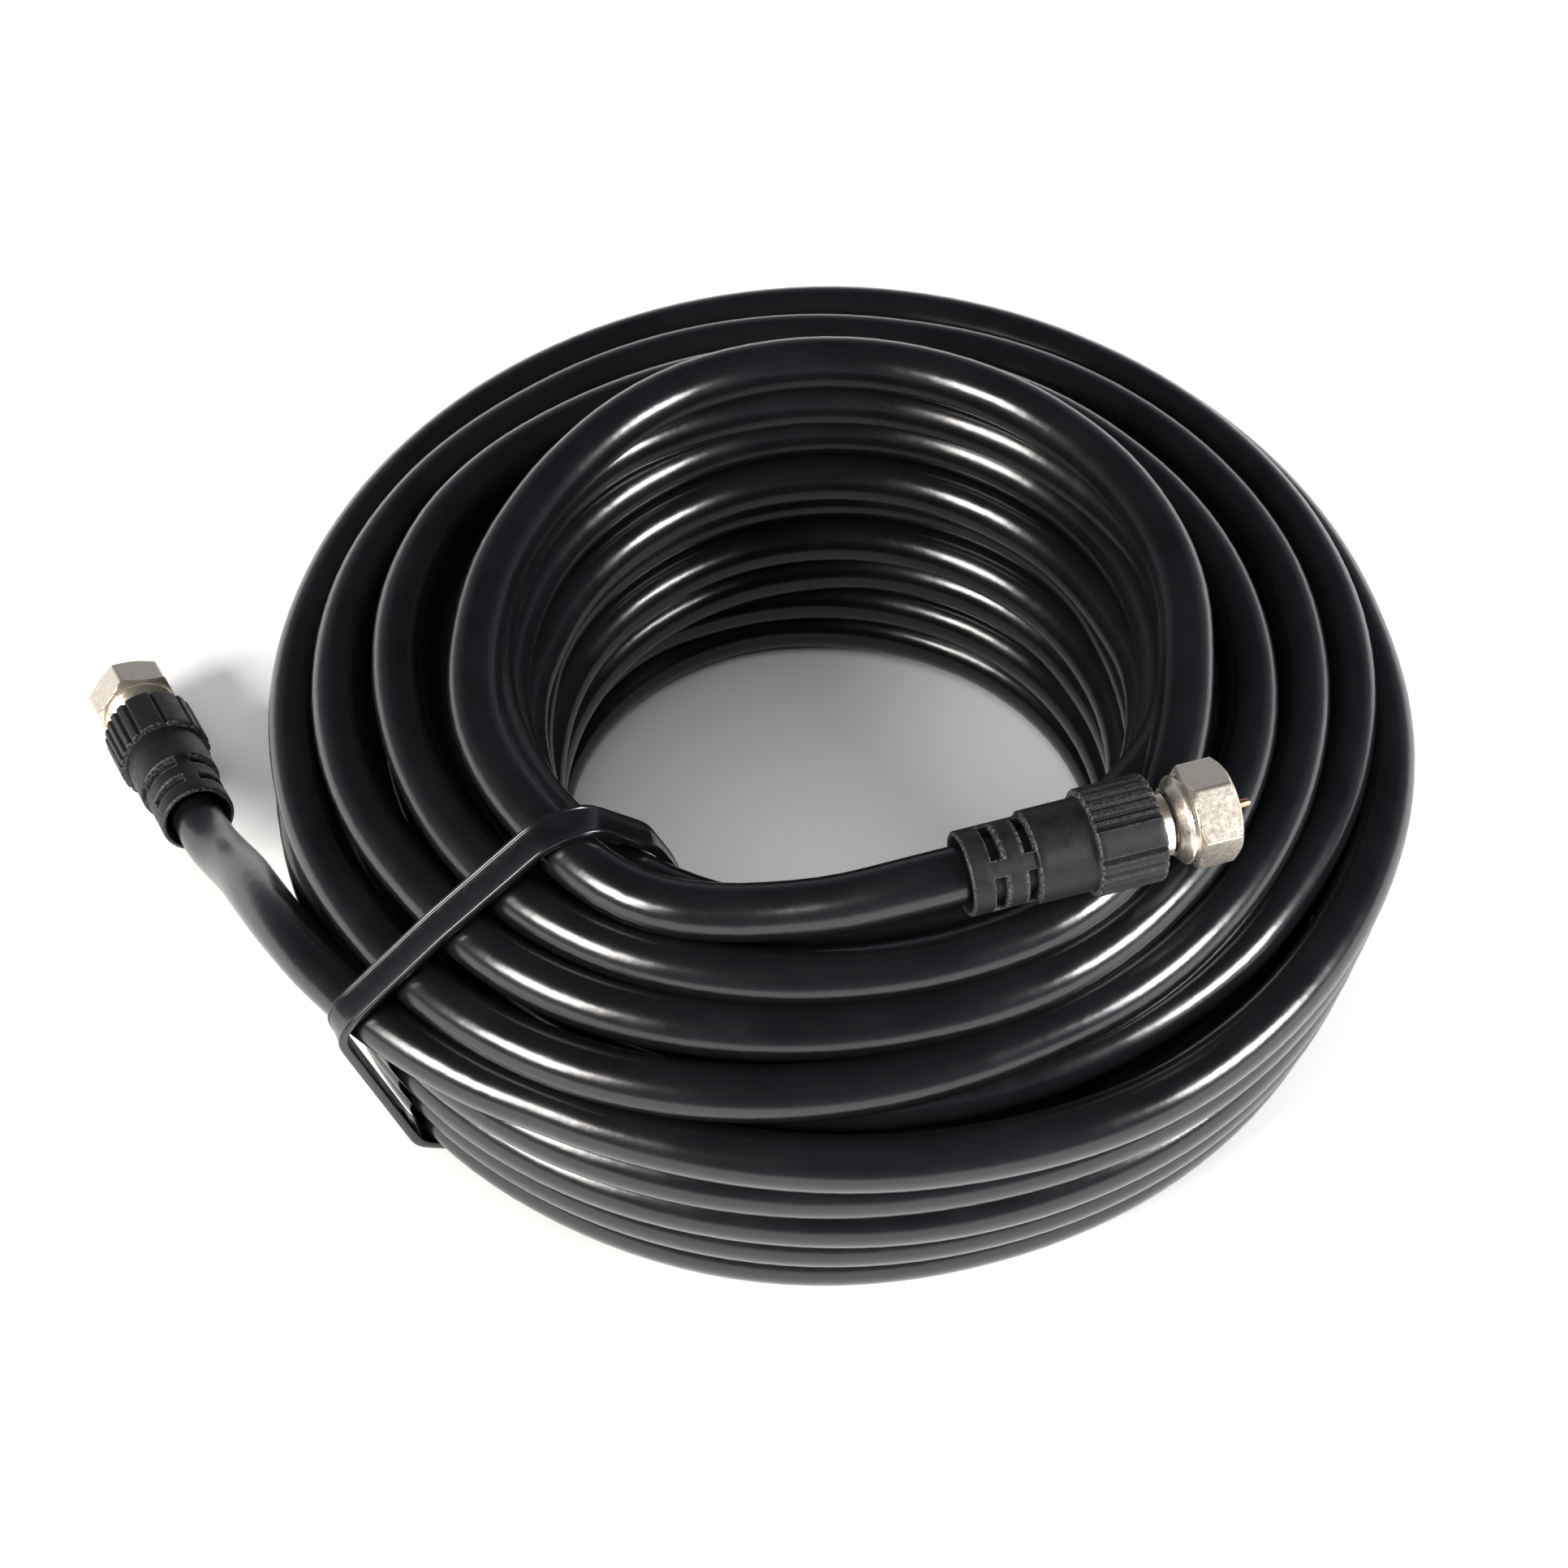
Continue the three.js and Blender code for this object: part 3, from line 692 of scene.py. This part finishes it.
# Section of the strap: sideways place and thickness, with a low rim along both edges
STRAP_SECTION = (
    (-2.2, 0.18), (-2.12, 0.05), (-1.95, 0.0), (1.95, 0.0), (2.12, 0.05), (2.2, 0.18),
    (2.2, 1.02), (2.12, 1.16), (1.95, 1.2), (1.76, 1.16), (1.68, 1.04), (1.6, 1.0),
    (-1.6, 1.0), (-1.68, 1.04), (-1.76, 1.16), (-1.95, 1.2), (-2.12, 1.16), (-2.2, 1.02),
)


def plane_points(flat, lateral):
    """Points of the tie's plane, given along and up, moved sideways."""
    along, up, across = tie_axes()
    flat = np.asarray(flat, float)
    return flat[:, :1] * along + flat[:, 1:2] * up + (lateral - TIE_OFFSET) * across


def make_tie(route, material):
    loop = tie_loop(crossings(route))
    ahead = np.roll(loop, -1, 0) - np.roll(loop, 1, 0)
    ahead /= np.linalg.norm(ahead, axis=1)[:, None]
    outward = np.stack([ahead[:, 1], -ahead[:, 0]], 1)
    rings = [plane_points(loop + outward * height, lateral) for lateral, height in STRAP_SECTION]
    points = np.stack(rings, 1).reshape(-1, 3)
    faces = grid_faces(len(loop), len(STRAP_SECTION), wrap_rows=True)
    strap = add_mesh("tie_strap", points, faces, material, 50)

    # The head sits on the strap's inner run, halfway down the bore
    top_height = max(height for _, height in crossings(route)) - HEAD_DROP
    inner = loop[loop[:, 0] < loop[:, 0].mean()]
    nearest = inner[np.argmin(np.abs(inner[:, 1] - top_height))]
    head_front = nearest[0] + HEAD_LAP
    middle = head_front - HEAD_THICKNESS / 2
    nearer = head_front - HEAD_THICKNESS * 0.45
    parts = [
        rounded_box((middle, top_height), (HEAD_THICKNESS, HEAD_LENGTH, HEAD_WIDTH), 0.7),
        rounded_box((nearer, top_height + HEAD_LENGTH / 2 + 1.4), HEAD_STUB, 0.3),
        rounded_box((nearer, top_height - HEAD_LENGTH / 2 - 0.1), HEAD_LIP, 0.4),
    ]
    points, faces = [], []
    for part_points, part_faces in parts:
        faces += [tuple(i + len(points) for i in face) for face in part_faces]
        points += part_points
    head = add_mesh("tie_head", np.array(points), faces, material, 60)
    return strap, head


def rounded_box(middle, size, rounding):
    """A box in the tie's plane with rounded edges, as points and faces."""
    shaped = bmesh.new()
    bmesh.ops.create_cube(shaped, size=1.0)
    for vertex in shaped.verts:
        vertex.co = Vector([vertex.co[k] * size[k] for k in range(3)])
    bmesh.ops.bevel(shaped, geom=list(shaped.edges), offset=rounding, segments=4, profile=0.5,
                    affect="EDGES")
    along, up, across = tie_axes()
    points = []
    for vertex in shaped.verts:
        x, y, z = vertex.co
        points.append((middle[0] + x) * along + (middle[1] + y) * up + (z - TIE_OFFSET) * across)
    faces = [tuple(v.index for v in face.verts) for face in shaped.faces]
    shaped.free()
    return points, faces


# Turned and moulded connector pieces


def polar_piece(name, place, angles, rings, material, closed=False, sharp_angle=35):
    """A piece round a connector's axis from rings of (distance along, radius, edge wear).

    An open run of rings starts and ends on the axis, and a closed one ends on its first ring.
    """
    theta = np.radians(angles)
    count = len(theta)
    spokes = np.cos(theta)[:, None] * place.across + np.sin(theta)[:, None] * place.up
    points, wear = [], []
    for along, radius, edge in rings:
        along = np.broadcast_to(along, count)
        radius = np.broadcast_to(radius, count)
        points.append(place.rear + along[:, None] * place.axis + radius[:, None] * spokes)
        wear.append(np.broadcast_to(edge, count))
    points = np.vstack(points)
    wear = np.concatenate(wear)
    faces = grid_faces(len(rings), count, wrap_rows=closed)
    if not closed:
        first, last = len(points), len(points) + 1
        ends = [place.along(np.mean(rings[0][0])), place.along(np.mean(rings[-1][0]))]
        points = np.vstack([points, ends])
        wear = np.r_[wear, 0, 0]
        base = (len(rings) - 1) * count
        for k in range(count):
            m = (k + 1) % count
            faces.append((first, m, k))
            faces.append((last, base + k, base + m))
    return add_mesh(name, points, faces, material, sharp_angle, edge=wear)


def wrapped(angle):
    return (np.asarray(angle) + 180) % 360 - 180


def groove_places():
    """Azimuths of the grip's grooves, leaving its plain panels out."""
    edges = []
    for middle, half in GRIP_PANELS:
        edges += [middle - half, middle + half]
    found = list(edges)
    for k in range(GROOVE_COUNT):
        azimuth = k * GROOVE_PITCH
        if all(abs(wrapped(azimuth - m)) > h + 0.4 * GROOVE_PITCH for m, h in GRIP_PANELS):
            found.append(azimuth)
    kept = []
    for azimuth in found:
        if all(abs(wrapped(azimuth - other)) > 0.45 * GROOVE_PITCH for other in kept):
            kept.append(azimuth)
    return np.array(kept)


def boot_radius(along, angles, base, groove):
    """Radius of the boot's outside and how worn it is there, with slots and grip grooves."""
    arc = math.radians(1) * RELIEF_RADIUS
    rib = np.min([np.abs(wrapped(angles - 90 * k)) for k in range(4)], axis=0)
    beside_rib = (rib - RIB_HALF_ANGLE) * arc
    radius = np.full(len(angles), base)
    wear = np.zeros(len(angles))
    fillet = 0.22
    for rear, front in SLOTS:
        inside = np.minimum(beside_rib, min(along - rear, front - along))
        near = (inside > -fillet) & (inside <= 0)
        rounding = fillet - np.sqrt(np.clip(fillet ** 2 - (fillet + inside) ** 2, 0, None))
        radius = np.where(near, np.minimum(radius, base - rounding), radius)
        wear = np.where(near, 1.0, wear)
        wall = np.clip(inside / 0.05, 0, 1)
        depth = base - fillet - (base - fillet - SLOT_FLOOR) * wall
        radius = np.where(inside > 0, depth, radius)
        wear = np.where(inside > 0, 0, wear)
    return radius - GROOVE_DEPTH * groove * (along > GRIP_REAR + 0.01), wear


def outside_profile():
    """Distance along and radius of the boot's plain outside, with its rounded edges."""
    fillet = 0.35
    profile = []
    for share in np.linspace(0, 1, 5):
        angle = share * math.pi / 2
        profile.append((fillet - fillet * math.sin(angle) if share < 1 else 0.0,
                        RELIEF_RADIUS - fillet + fillet * math.cos(angle)))
    profile = profile[::-1]
    for rear, front in SLOTS:
        for edge, sign in ((rear, 1), (front, -1)):
            steps = [-0.6, -0.22, -0.15, -0.08, -0.02, 0.0, 0.05, 0.3]
            profile += [(edge + s * sign, RELIEF_RADIUS) for s in (steps if sign > 0 else steps[::-1])]
    profile = [p for p in profile if p[0] < BODY_REAR - 0.001]
    profile += [(BODY_REAR, RELIEF_RADIUS), (BODY_REAR + 0.02, BODY_RADIUS - 0.3)]
    for share in np.linspace(0.2, 1, 4):
        profile.append((BODY_REAR + 0.02 + 0.3 * (1 - math.cos(share * math.pi / 2)),
                        BODY_RADIUS - 0.3 + 0.3 * math.sin(share * math.pi / 2)))
    profile += [(along, BODY_RADIUS) for along in np.linspace(BODY_REAR + 1, GRIP_REAR - 0.3, 6)]
    profile += [(GRIP_REAR - 0.05, BODY_RADIUS + 0.05), (GRIP_REAR, BODY_RADIUS + 0.2)]
    edge = 0.32
    for share in np.linspace(0, 1, 4):
        profile.append((GRIP_REAR + 0.02 + edge * (1 - math.cos(share * math.pi / 2)),
                        GRIP_RADIUS - edge + edge * math.sin(share * math.pi / 2)))
    profile += [(along, GRIP_RADIUS) for along in np.linspace(GRIP_REAR + 1, BOOT_FRONT - 1, 5)]
    for share in np.linspace(0, 1, 5):
        profile.append((BOOT_FRONT - edge * (1 - math.sin(share * math.pi / 2)),
                        GRIP_RADIUS - edge * (1 - math.cos(share * math.pi / 2))))
    return profile


def make_boot(place, material):
    grooves = groove_places()
    slot_edges = [90 * k + sign * RIB_HALF_ANGLE for k in range(4) for sign in (-1, 1)]
    offsets = [-2.5, -1.7, -0.9, -0.2, 0, 0.2, 0.56, 2.5]
    inward = [-o for o in offsets]
    edges_up = [e % 360 for e in slot_edges[1::2]]
    edges_down = [e % 360 for e in slot_edges[0::2]]
    lines = [e + o for e in edges_up for o in offsets] + [e + o for e in edges_down for o in inward]
    groove_offsets = (-3.7, -2.6, -1.3, 0, 1.3, 2.6, 3.7)
    lines += [g + o for g in grooves for o in groove_offsets]
    lines += list(np.arange(0, 360, 6.0))
    lines = np.unique(np.round(np.array(lines) % 360, 2))
    angles = lines[np.r_[True, np.diff(lines) > 0.12]]
    from_groove = np.min(np.abs(wrapped(angles[:, None] - grooves[None])), axis=1)
    groove = np.where(from_groove < GROOVE_HALF_WIDTH,
                      np.cos(np.clip(from_groove / GROOVE_HALF_WIDTH, 0, 1) * np.pi / 2) ** 2, 0.0)
    rings = [(CABLE_SEAT + 0.3, BOOT_BORE * 0.5, 0), (CABLE_SEAT + 0.3, BOOT_BORE, 0),
             (MOUTH_DEPTH, BOOT_BORE, 0), (0.25, BOOT_MOUTH - 0.08, 0), (0.0, BOOT_MOUTH + 0.12, 0.6)]
    previous = -1
    for along, base in outside_profile():
        if along <= previous and along > 0:
            continue
        radius, wear = boot_radius(along, angles, base, groove)
        if GRIP_REAR <= along < GRIP_REAR + GRIP_EDGE or along > BOOT_FRONT - GRIP_EDGE:
            wear = np.maximum(wear, 0.9)
        if GRIP_REAR + GRIP_EDGE <= along <= BOOT_FRONT - GRIP_EDGE:
            wear = np.maximum(wear, 0.35 * (groove < 0.05) * (from_groove < 5.5))
        if 0 <= along < 0.3:
            wear = np.maximum(wear, 0.7)
        rings.append((along, radius, wear))
        previous = along
    bore = SHANK_RADIUS + 0.3
    rings += [(BOOT_FRONT, bore, 0), (SHANK_SEAT, bore, 0), (SHANK_SEAT, bore * 0.5, 0)]
    return polar_piece(f"{place.prefix}_boot_moulding", place, angles + place.roll, rings, material)


def turned_piece(name, place, profile, material, sides=64, closed=False, sharp_angle=35):
    angles = np.linspace(0, 360, sides, endpoint=False)
    rings = [(along, radius, 0) for along, radius in profile]
    return polar_piece(name, place, angles, rings, material, closed, sharp_angle)


def make_shank(place, material):
    flange = THREAD_RADIUS - 0.5
    bore = INSULATOR_RADIUS + 0.1
    shoulder = NUT_REAR - 0.3
    rear = SHANK_SEAT + 0.3
    profile = [
        (rear, 1.0), (rear, SHANK_RADIUS - 0.15), (rear + 0.15, SHANK_RADIUS),
        (shoulder - 0.12, SHANK_RADIUS), (shoulder - 0.03, SHANK_RADIUS - 0.04),
        (shoulder, SHANK_RADIUS - 0.13), (shoulder, NECK_RADIUS + 0.1), (shoulder + 0.1, NECK_RADIUS),
        (FLANGE_REAR, NECK_RADIUS), (FLANGE_REAR, flange - 0.1), (FLANGE_REAR + 0.1, flange),
        (FLANGE_REAR + 0.9, flange), (FLANGE_REAR + 1.0, flange - 0.1), (FLANGE_REAR + 1.0, bore + 0.1),
        (FLANGE_REAR + 0.9, bore), (25.2, bore), (25.2, 1.0),
    ]
    return turned_piece(f"{place.prefix}_shank_plated", place, profile, material)


def hexagon(angles, corner_azimuth):
    """Radius of a hexagon with slightly rounded corners."""
    from_face = np.abs(wrapped((angles - corner_azimuth) % 60 - 30))
    radius = NUT_FACE / np.cos(np.radians(from_face))
    near = np.clip(1 - (30 - from_face) / 2.6, 0, 1)
    return radius - 0.07 * near ** 2


def make_nut(place, corner_azimuth, material):
    near = (-30, -24, -18, -12, -8, -5, -3, -1.8, -1.0, -0.4, 0, 0.4, 1.0, 1.8, 3, 5, 8, 12, 18, 24)
    angles = np.sort([(60 * k + corner_azimuth + o) % 360 for k in range(6) for o in near])
    hexed = hexagon(angles, corner_azimuth)
    rings = [
        (NUT_REAR, NECK_RADIUS + 0.35, 0), (NUT_REAR, 4.0, 0), (NUT_REAR + 0.06, 4.12, 1),
        (NUT_REAR + 0.18, 4.22, 0), (NUT_REAR + 0.6, 4.62, 0), (NUT_REAR + 0.95, 5.02, 0),
        (NUT_REAR + 1.15, 5.26, 0), (NUT_REAR + 1.27, 5.34, 1), (NUT_REAR + 1.42, 5.35, 0),
        (NUT_REAR + 1.54, 5.31, 1), (NUT_REAR + 1.6, 5.2, 0), (NUT_REAR + 1.62, 4.95, 0),
        (HEX_REAR - 0.02, 4.93, 0), (HEX_REAR, 5.2, 0),
    ]
    rear_rise = (NUT_CORNER - NUT_FACE + 0.25) / 0.62
    for along in np.linspace(0, 0.62, 11):
        chamfer = NUT_FACE - 0.14 + rear_rise * along
        rings.append((HEX_REAR + 0.01 + along, np.minimum(hexed, chamfer), 0))
    for along in (HEX_REAR + 1.2, HEX_REAR + 2.4, HEX_REAR + 3.6):
        rings.append((along, hexed, 0))
    front_rise = (NUT_CORNER - NUT_FACE + 0.25) / 0.72
    for along in np.linspace(0.72, 0, 13):
        chamfer = NUT_FACE - 0.14 + front_rise * along
        rings.append((NUT_FRONT - along, np.minimum(hexed, chamfer), 0))
    rings.append((NUT_FRONT, THREAD_RADIUS + 0.3, 0))
    depth = NUT_FRONT - 0.3 - NUT_LIP - 0.2
    steps = int(depth / THREAD_PITCH * 8)
    for i in range(steps + 1):
        along = NUT_FRONT - 0.3 - depth * i / steps
        phase = (along / THREAD_PITCH + angles / 360) % 1
        ridge = 1 - 2 * np.abs(phase - 0.5)
        fade = min(1.0, i / 6, (steps - i) / 6)
        rings.append((along, THREAD_RADIUS - THREAD_DEPTH * (ridge - 0.5) * fade, 0))
    rings += [(NUT_LIP, THREAD_RADIUS, 0), (NUT_LIP, NECK_RADIUS + 0.35, 0)]
    return polar_piece(f"{place.prefix}_nut_plated", place, angles, rings, material, True, 24)


def make_insulator(place, material):
    hole = PIN_RADIUS + 0.08
    profile = [
        (25.3, 0.5), (25.3, INSULATOR_RADIUS), (INSULATOR_FRONT - 0.15, INSULATOR_RADIUS),
        (INSULATOR_FRONT - 0.04, INSULATOR_RADIUS - 0.04), (INSULATOR_FRONT, INSULATOR_RADIUS - 0.15),
        (INSULATOR_FRONT, hole + 0.12), (INSULATOR_FRONT - 0.1, hole), (INSULATOR_FRONT - 2.5, hole),
        (INSULATOR_FRONT - 2.5, hole * 0.4),
    ]
    return turned_piece(f"{place.prefix}_insulator_disc", place, profile, material, 48)


def make_wire(place, material):
    """The bare centre wire, with the slanted end that side cutters leave."""
    angles = np.linspace(0, 360, 32, endpoint=False)
    slant = 0.28 * np.cos(np.radians(angles - 60))
    rear = INSULATOR_FRONT - 2.3
    rings = [(rear, PIN_RADIUS * 0.5, 0), (rear, PIN_RADIUS, 0), (PIN_TIP - 1.4, PIN_RADIUS, 0),
             (PIN_TIP - 0.46 + slant, PIN_RADIUS, 0), (PIN_TIP - 0.34 + slant, PIN_RADIUS * 0.88, 0),
             (PIN_TIP - 0.28 + slant * 0.5, PIN_RADIUS * 0.45, 0)]
    return polar_piece(f"{place.prefix}_wire_copper", place, angles, rings, material)


# Build the pieces

jacket = jacket_material()
moulding = boot_material()
nickel = nickel_material()
copper = copper_material()
dielectric = insulator_material()
nylon = tie_material()

route = cable_route()
cable = make_cable(route, jacket)
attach(cable, "coil")
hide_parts("cable_coil", "cable_top_turn", "cable_tail")

strap, head = make_tie(route, nylon)
for piece in (strap, head):
    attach(piece, "coil")
    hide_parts("cable_tie")

for place, corner in ((top, TOP_NUT_CORNER), (side, SIDE_NUT_CORNER)):
    prefix = place.prefix
    pieces = (
        (make_boot(place, moulding), "coil", f"{prefix}_boot", "boot"),
        (make_shank(place, nickel), "coil", f"{prefix}_shank", "nickel"),
        (make_nut(place, corner, nickel), f"{prefix}_nut", f"{prefix}_coupling_nut", "nickel"),
        (make_insulator(place, dielectric), "coil", f"{prefix}_insulator", "insulator"),
        (make_wire(place, copper), "coil", f"{prefix}_centre_wire", "copper"),
    )
    for piece, body, node, slot in pieces:
        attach(piece, body)
        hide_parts(node)

# Floor

bpy.ops.mesh.primitive_plane_add(size=6.0, location=(0, 0, 0))
floor = bpy.context.object
floor.name = "studio_floor"
floor.data.materials.append(floor_material())


# Light and camera


def soft_box(name, direction, distance, size, power, colour):
    """A flat light that faces the middle of the coil."""
    data = bpy.data.lights.new(name, "AREA")
    data.shape = "RECTANGLE"
    data.size, data.size_y = size
    data.energy = power
    data.color = colour
    light = bpy.data.objects.new(name, data)
    target = Vector(to_row((0, 0, 30)))
    away = Vector(direction).normalized()
    light.location = target + away * distance
    light.rotation_euler = (-away).to_track_quat("-Z", "Y").to_euler()
    bpy.context.scene.collection.objects.link(light)


soft_box("left_box", (-0.66, -0.53, 0.53), 0.9, (0.34, 0.34), 14.0, (1.0, 0.97, 0.93))
soft_box("right_box", (0.83, -0.35, 0.43), 0.9, (0.34, 0.26), 14.0, (0.97, 0.98, 1.0))

# A very soft light from above that lights the floor, without its own streaks on the cable
overhead = bpy.data.lights.new("overhead", "SUN")
overhead.energy = OVERHEAD_POWER
overhead.angle = math.radians(OVERHEAD_ANGLE)
overhead_light = bpy.data.objects.new("overhead", overhead)
overhead_light.visible_glossy = False
bpy.context.scene.collection.objects.link(overhead_light)

world = bpy.data.worlds.new("studio")
bpy.context.scene.world = world
world.use_nodes = True
world_nodes = world.node_tree.nodes
world_links = world.node_tree.links
sky = world_nodes.new("ShaderNodeTexCoord")
split = world_nodes.new("ShaderNodeSeparateXYZ")
fade = world_nodes.new("ShaderNodeValToRGB")
fade.color_ramp.elements[0].position = 0.0
fade.color_ramp.elements[0].color = HORIZON_COLOUR
fade.color_ramp.elements[1].position = UPPER_PLACE
fade.color_ramp.elements[1].color = UPPER_COLOUR
world_links.new(sky.outputs["Generated"], split.inputs["Vector"])
world_links.new(split.outputs["Z"], fade.inputs["Fac"])
world_links.new(fade.outputs["Color"], world_nodes["Background"].inputs["Color"])
world_nodes["Background"].inputs["Strength"].default_value = 1.0

bpy.context.scene.view_settings.view_transform = "Standard"

camera_data = bpy.data.cameras.new("photo_view")
camera_data.sensor_width = SENSOR_WIDTH
camera_data.lens = FOCAL_PIXELS / PHOTO_SIZE * SENSOR_WIDTH
camera = bpy.data.objects.new("photo_view", camera_data)
camera.location = Vector(to_row(CAMERA_PLACE))
camera.rotation_euler = (math.radians(90 - CAMERA_DIP), 0, 0)
bpy.context.scene.collection.objects.link(camera)
bpy.context.scene.camera = camera
